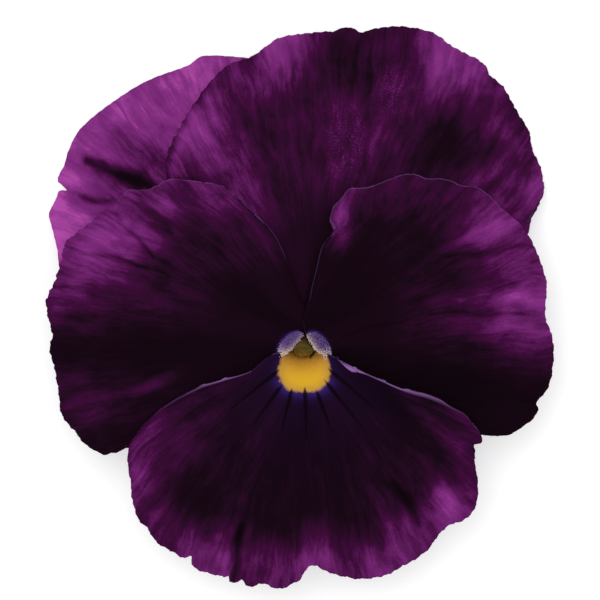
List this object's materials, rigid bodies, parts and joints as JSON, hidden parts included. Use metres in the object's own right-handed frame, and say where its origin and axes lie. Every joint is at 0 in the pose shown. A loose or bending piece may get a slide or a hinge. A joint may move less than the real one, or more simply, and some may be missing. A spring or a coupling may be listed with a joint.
{
  "type": "pansy bloom",
  "caption": "Single dark purple pansy bloom with a yellow eye, as picked, lying face up on its petal rims and short cut stalk.",
  "frame": {"origin": "on the surface the bloom lies on, under the middle of its outline", "axes": "+Z out of the face, +Y towards the two upper petals, +X to the right of someone who looks at the face"},
  "size_m": [0.0574, 0.064, 0.0111],
  "materials": {
    "pale_petal": "velvety magenta purple petal",
    "dark_petal": "velvety dark purple petal",
    "sepal": "matt green leaf scale",
    "stalk": "satin green stalk",
    "pistil": "satin yellow green",
    "stamen": "matt orange tan"
  },
  "bodies": {
    "root": {"upper_left_petal": "pale_petal", "upper_right_petal": "dark_petal", "left_side_petal": "dark_petal", "right_side_petal": "dark_petal", "lower_petal": "dark_petal", "top_sepal": "sepal", "upper_left_sepal": "sepal", "upper_right_sepal": "sepal", "lower_left_sepal": "sepal", "lower_right_sepal": "sepal", "stalk": "stalk", "left_bract": "sepal", "right_bract": "sepal", "pistil": "pistil", "top_stamen": "stamen", "upper_left_stamen": "stamen", "upper_right_stamen": "stamen", "lower_left_stamen": "stamen", "lower_right_stamen": "stamen"}
  },
  "joints": []
}
